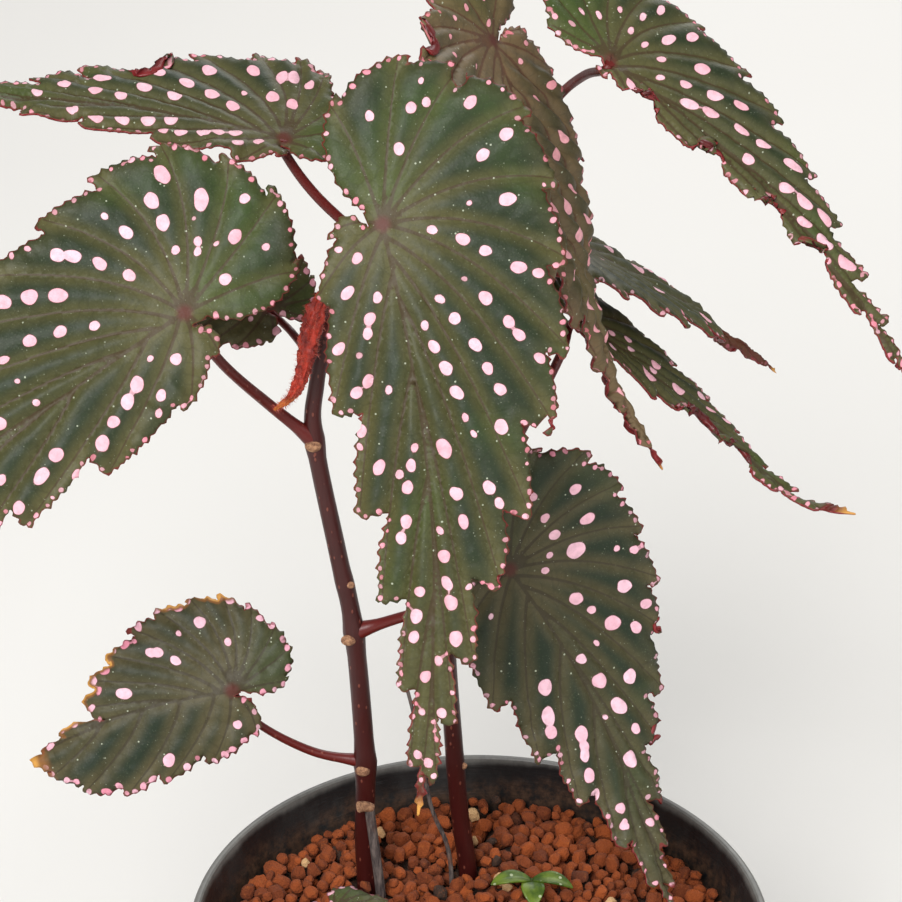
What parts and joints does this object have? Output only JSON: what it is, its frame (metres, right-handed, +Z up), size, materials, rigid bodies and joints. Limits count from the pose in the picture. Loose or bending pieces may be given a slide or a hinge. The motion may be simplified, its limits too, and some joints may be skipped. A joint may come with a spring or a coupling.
{
  "type": "potted begonia",
  "caption": "Potted cane begonia with long lopsided leaves, dark green with pale pink spots, on dark red canes rising from clay granules in a round black pot.",
  "frame": {"origin": "centre of the pot's underside", "axes": "+Z up along the pot's axis, -Y towards the pictured side of the plant, +X to the right in the picture"},
  "size_m": [0.2288, 0.1691, 0.3121],
  "materials": {
    "pot_black": "thin black nursery-pot plastic, satin",
    "clay": "rough moist red-brown clay granules",
    "stem_red": "smooth dark red cane, satin",
    "blade_green": "dark olive-green leaf with pale pink spots, red underneath, satin",
    "young_red": "hairy bright red unfolding leaf",
    "seedling_green": "glossy light green seedling",
    "dead_grey": "dry grey dead stem, matt"
  },
  "bodies": {
    "root": {"pot": "pot_black", "soil": "clay", "cane_left": "stem_red", "cane_right": "stem_red", "leaf_low_front_stalk": "stem_red", "leaf_front": "blade_green", "leaf_left": "blade_green", "leaf_upper_left": "blade_green", "leaf_top": "blade_green", "leaf_upper_right": "blade_green", "leaf_right_high": "blade_green", "leaf_right_low": "blade_green", "leaf_lower_right": "blade_green", "leaf_lower_left": "blade_green", "leaf_behind_left": "blade_green", "leaf_low_front": "blade_green", "leaf_unfolding": "young_red", "seedling": "seedling_green", "old_stub": "dead_grey", "dry_stalk": "dead_grey"}
  },
  "joints": []
}
